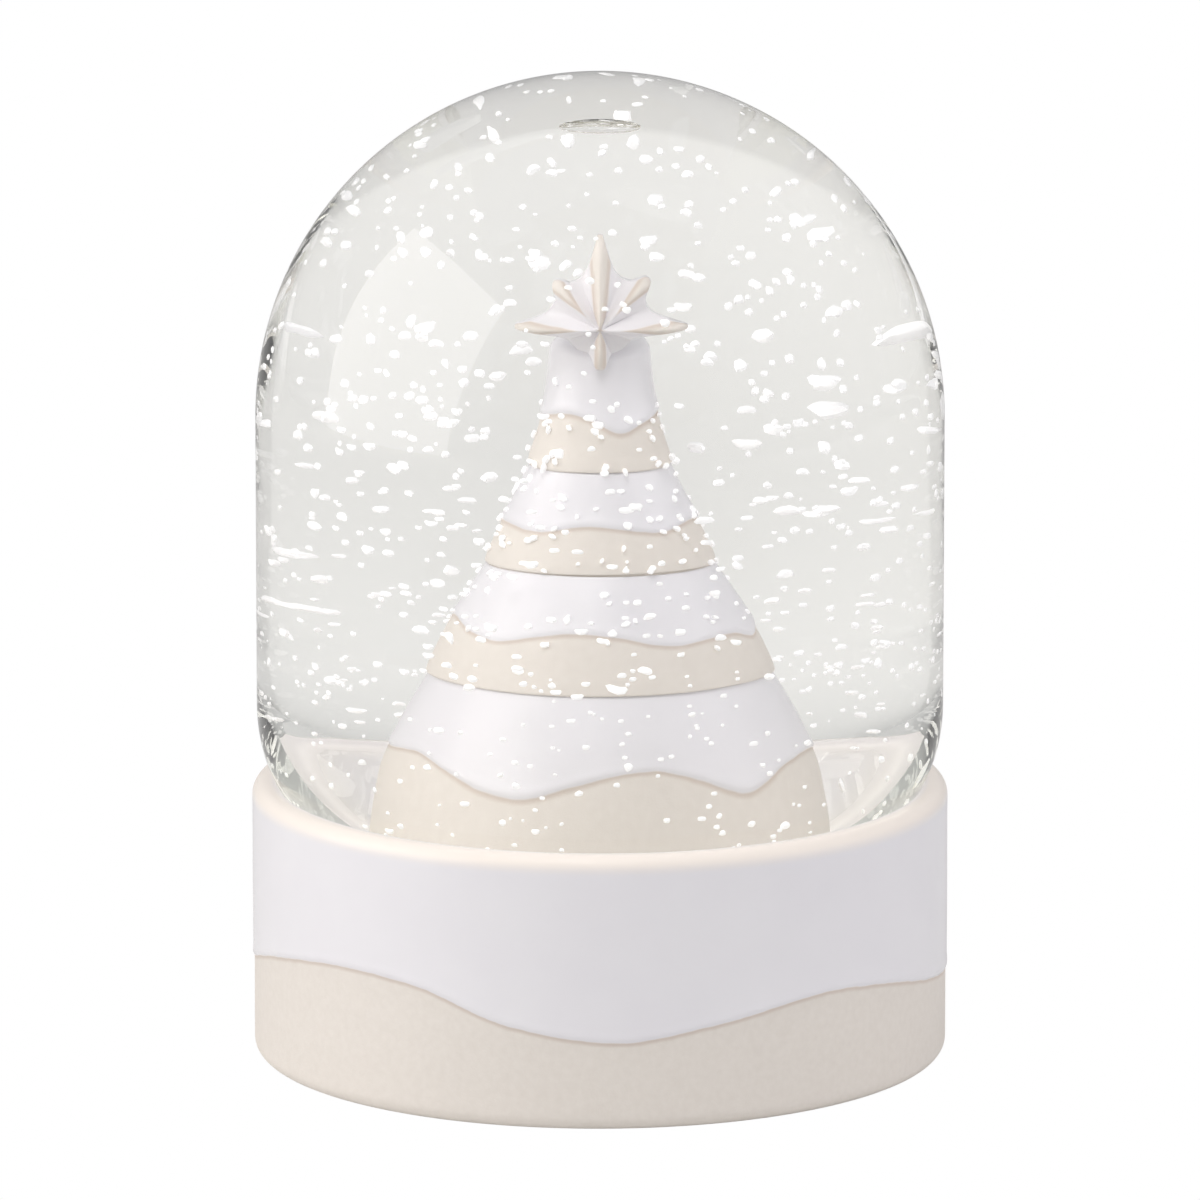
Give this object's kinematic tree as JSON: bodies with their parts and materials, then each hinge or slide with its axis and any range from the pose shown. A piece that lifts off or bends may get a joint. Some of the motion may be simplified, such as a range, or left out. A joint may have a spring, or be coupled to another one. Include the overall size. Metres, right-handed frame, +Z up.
{
  "type": "snow globe",
  "caption": "Liquid-filled glass dome on a round ceramic ring base, with a tiered ceramic tree under a ridged star and white flakes that swirl in the liquid.",
  "frame": {"origin": "centre of the underside, where the felt pad meets the table", "axes": "+Z up along the axis of the dome, -Y towards the front of the star"},
  "size_m": [0.1, 0.1, 0.1428],
  "materials": {
    "glazed_stoneware": "satin",
    "clear_glass": "polished",
    "liquid": "polished",
    "snow_flake": "satin",
    "stopper_rubber": "matte",
    "sealant": "satin",
    "fibreboard": "matte",
    "felt": "matte"
  },
  "bodies": {
    "globe": {"ceramic_base": "glazed_stoneware", "base_cover": "fibreboard", "felt_pad": "felt", "dome_bedding": "sealant", "glass_dome": "clear_glass", "rubber_stopper": "stopper_rubber", "fill_plug": "stopper_rubber", "sealant_bead": "sealant", "tree_body": "glazed_stoneware", "tree_glue": "sealant", "tree_star": "glazed_stoneware"},
    "snow": {"liquid_fill": "liquid", "snow_flake_01": "snow_flake", "snow_flake_02": "snow_flake", "snow_flake_03": "snow_flake", "snow_flake_04": "snow_flake", "snow_flake_05": "snow_flake", "snow_flake_06": "snow_flake", "snow_flake_07": "snow_flake", "snow_flake_08": "snow_flake", "snow_flake_09": "snow_flake", "snow_flake_10": "snow_flake", "snow_flake_11": "snow_flake", "snow_flake_12": "snow_flake", "snow_flake_13": "snow_flake", "snow_flake_14": "snow_flake", "snow_flake_15": "snow_flake", "snow_flake_16": "snow_flake", "snow_flake_17": "snow_flake", "snow_flake_18": "snow_flake", "snow_flake_19": "snow_flake", "snow_flake_20": "snow_flake", "snow_flake_21": "snow_flake", "snow_flake_22": "snow_flake", "snow_flake_23": "snow_flake", "snow_flake_24": "snow_flake"}
  },
  "joints": [
    {"name": "snow_swirl", "type": "hinge", "parent": "globe", "child": "snow", "pos_m": [0, 0, 0.08], "axis": [0, 0, 1], "continuous": true}
  ]
}
